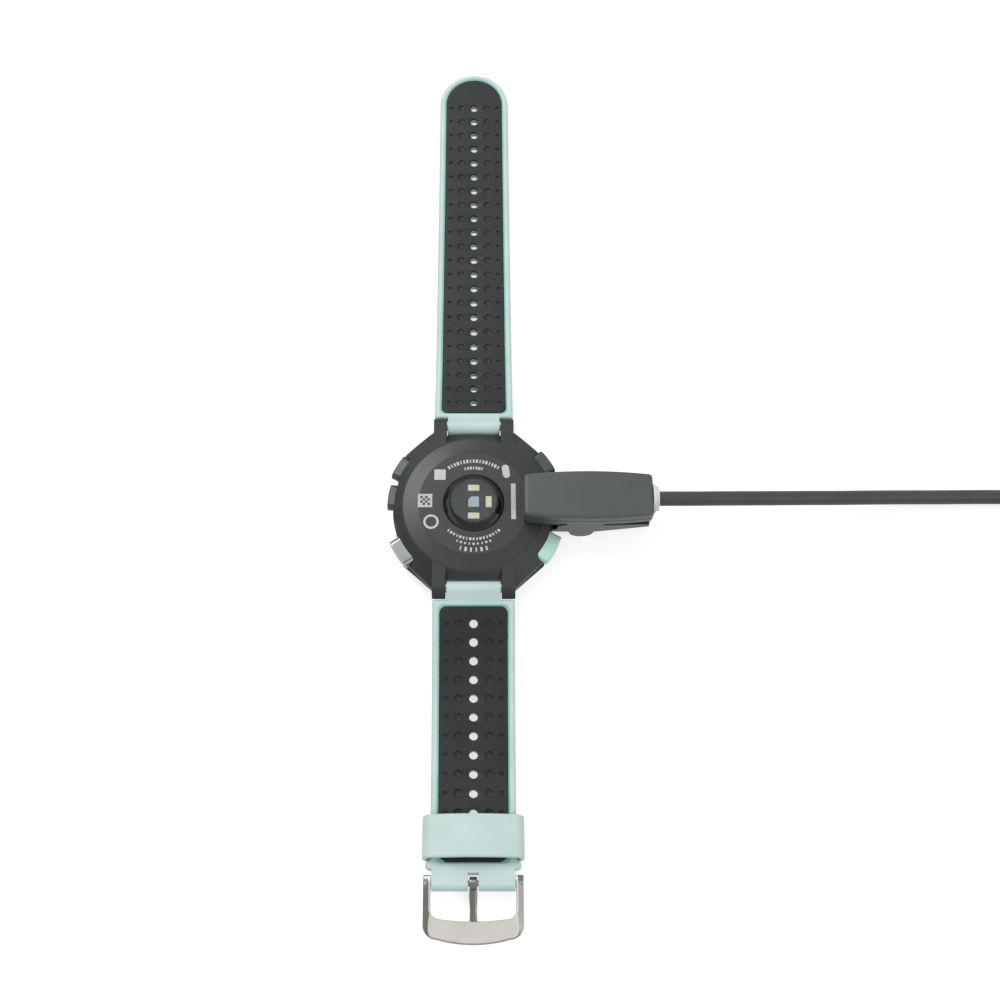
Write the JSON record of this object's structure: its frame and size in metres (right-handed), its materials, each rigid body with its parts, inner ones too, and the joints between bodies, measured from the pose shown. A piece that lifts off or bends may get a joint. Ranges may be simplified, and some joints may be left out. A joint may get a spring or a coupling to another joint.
{
  "type": "gps running watch",
  "caption": "Round sports wristwatch face down, two-tone perforated straps with buckle and keeper, optical pulse sensor, and a spring charging clip with its lead.",
  "frame": {"origin": "centre of the lens face, which is the face the watch rests on", "axes": "+Z out of the case back, +Y along the long (holed) strap, +X towards the charging clip"},
  "size_m": [0.2356, 0.2623, 0.0162],
  "materials": {
    "bezel_plastic": "satin moulded",
    "lens_glass": "polished",
    "black_rubber": "moulded",
    "display": "laminated",
    "case_plastic": "fine matt moulded",
    "board": "solder mask",
    "steel": "satin",
    "battery_foil": "foil pouch",
    "ceramic": "fired",
    "contact_gold": "gold plated",
    "back_plastic": "fine matt moulded",
    "sensor_black": "polished",
    "led_yellow": "phosphor in resin",
    "diode_blue": "silicon die",
    "window_clear": "polished",
    "mint_silicone": "soft matt",
    "charcoal_silicone": "soft matt",
    "mint_plastic": "satin moulded",
    "grey_button": "satin moulded",
    "buckle_steel": "bead blasted",
    "clip_plastic": "fine matt moulded",
    "jaw_plastic": "moulded",
    "collar_plastic": "moulded",
    "cord_jacket": "extruded",
    "plug_plastic": "moulded"
  },
  "bodies": {
    "case": {"front_bezel": "bezel_plastic", "lens_glass": "lens_glass", "lens_gasket": "black_rubber", "display_module": "display", "mid_case": "case_plastic", "main_board": "board", "board_screws": "steel", "battery": "battery_foil", "gps_antenna": "ceramic", "vibration_motor": "steel", "dome_switches": "contact_gold", "button_seals": "black_rubber", "back_cover": "back_plastic", "back_gasket": "black_rubber", "charge_contacts": "contact_gold", "piezo_buzzer": "contact_gold", "sensor_ring": "sensor_black", "sensor_board": "sensor_black", "sensor_leds": "led_yellow", "photodiode": "diode_blue", "sensor_window": "window_clear", "long_spring_bar": "steel", "short_spring_bar": "steel"},
    "upper_left_button": {"button_upper_left": "grey_button"},
    "middle_left_button": {"button_middle_left": "grey_button"},
    "lower_left_button": {"button_lower_left": "grey_button"},
    "upper_right_button": {"button_upper_right": "grey_button"},
    "lower_right_button": {"button_lower_right": "mint_plastic"},
    "long_link_1": {"long_strap_1": "mint_silicone", "long_liner_1": "charcoal_silicone"},
    "long_link_2": {"long_strap_2": "mint_silicone", "long_liner_2": "charcoal_silicone"},
    "long_link_3": {"long_strap_3": "mint_silicone", "long_liner_3": "charcoal_silicone"},
    "long_link_4": {"long_strap_4": "mint_silicone", "long_liner_4": "charcoal_silicone"},
    "short_link_1": {"short_strap_1": "mint_silicone", "short_liner_1": "charcoal_silicone"},
    "short_link_2": {"short_strap_2": "mint_silicone", "short_liner_2": "charcoal_silicone"},
    "short_link_3": {"short_strap_3": "mint_silicone", "short_liner_3": "charcoal_silicone", "buckle_bar": "buckle_steel"},
    "keeper": {"keeper_loop": "mint_silicone"},
    "buckle": {"buckle_frame": "buckle_steel"},
    "prong": {"buckle_prong": "buckle_steel"},
    "clip": {"clip_upper_jaw": "clip_plastic", "clip_hinge_pin": "steel", "clip_spring": "steel", "clip_contact_block": "plug_plastic", "pogo_pins": "contact_gold", "cable_collar": "collar_plastic", "cord_lead": "cord_jacket", "cord_coil": "cord_jacket", "cord_tail": "cord_jacket", "plug_strain_relief": "plug_plastic", "plug_body": "plug_plastic", "plug_shell": "steel"},
    "clip_jaw": {"clip_lower_jaw": "jaw_plastic"}
  },
  "joints": [
    {"name": "upper_left_button_press", "type": "slide", "parent": "case", "child": "upper_left_button", "axis": [0.866, -0.5, 0], "range_m": [0, 0.0006], "stiffness_N_per_m": 900, "springref_m": -0.0005},
    {"name": "middle_left_button_press", "type": "slide", "parent": "case", "child": "middle_left_button", "axis": [0.9914, -0.1305, 0], "range_m": [0, 0.0006], "stiffness_N_per_m": 900, "springref_m": -0.0005},
    {"name": "lower_left_button_press", "type": "slide", "parent": "case", "child": "lower_left_button", "axis": [0.829, 0.5592, 0], "range_m": [0, 0.0006], "stiffness_N_per_m": 900, "springref_m": -0.0005},
    {"name": "upper_right_button_press", "type": "slide", "parent": "case", "child": "upper_right_button", "axis": [-0.832, -0.5548, 0], "range_m": [0, 0.0006], "stiffness_N_per_m": 900, "springref_m": -0.0005},
    {"name": "lower_right_button_press", "type": "slide", "parent": "case", "child": "lower_right_button", "axis": [-0.866, 0.5, 0], "range_m": [0, 0.0006], "stiffness_N_per_m": 900, "springref_m": -0.0005},
    {"name": "long_strap_lug", "type": "hinge", "parent": "case", "child": "long_link_1", "pos_m": [0, 0.024, 0.0062], "axis": [1, 0, 0], "range_deg": [0, 60]},
    {"name": "long_strap_bend_1", "type": "hinge", "parent": "long_link_1", "child": "long_link_2", "pos_m": [0, 0.04442, 0.00329], "axis": [1, 0, 0], "range_deg": [0, 28]},
    {"name": "long_strap_bend_2", "type": "hinge", "parent": "long_link_2", "child": "long_link_3", "pos_m": [0, 0.07412, 0.00298], "axis": [1, 0, 0], "range_deg": [0, 28]},
    {"name": "long_strap_bend_3", "type": "hinge", "parent": "long_link_3", "child": "long_link_4", "pos_m": [0, 0.10381, 0.00319], "axis": [1, 0, 0], "range_deg": [0, 28]},
    {"name": "short_strap_lug", "type": "hinge", "parent": "case", "child": "short_link_1", "pos_m": [0, -0.024, 0.0062], "axis": [-1, 0, 0], "range_deg": [0, 60]},
    {"name": "short_strap_bend_1", "type": "hinge", "parent": "short_link_1", "child": "short_link_2", "pos_m": [0, -0.04539, 0.00308], "axis": [-1, 0, 0], "range_deg": [0, 28]},
    {"name": "short_strap_bend_2", "type": "hinge", "parent": "short_link_2", "child": "short_link_3", "pos_m": [0, -0.07014, 0.00282], "axis": [-1, 0, 0], "range_deg": [0, 28]},
    {"name": "keeper_slide", "type": "slide", "parent": "short_link_3", "child": "keeper", "axis": [0, 0.9969, -0.0785], "range_m": [0, 0.009]},
    {"name": "buckle_hinge", "type": "hinge", "parent": "short_link_3", "child": "buckle", "pos_m": [0, -0.09977, 0.0037], "axis": [-1, 0, 0], "range_deg": [-20, 60]},
    {"name": "prong_hinge", "type": "hinge", "parent": "buckle", "child": "prong", "pos_m": [0, -0.09977, 0.0037], "axis": [1, 0, 0], "range_deg": [0, 80]},
    {"name": "clip_slide", "type": "slide", "parent": "case", "child": "clip", "axis": [1, 0, 0], "range_m": [0, 0.04]},
    {"name": "clip_jaw_hinge", "type": "hinge", "parent": "clip", "child": "clip_jaw", "pos_m": [0.0296, 0, 0.004], "axis": [0, -1, 0], "range_deg": [0, 12], "stiffness_Nm_per_rad": 0.05, "springref_deg": -14.32}
  ],
  "couplings": [
    {"joint": "long_strap_bend_2", "follows": "long_strap_bend_1", "ratio": 1},
    {"joint": "long_strap_bend_3", "follows": "long_strap_bend_1", "ratio": 1},
    {"joint": "short_strap_bend_2", "follows": "short_strap_bend_1", "ratio": 1}
  ]
}
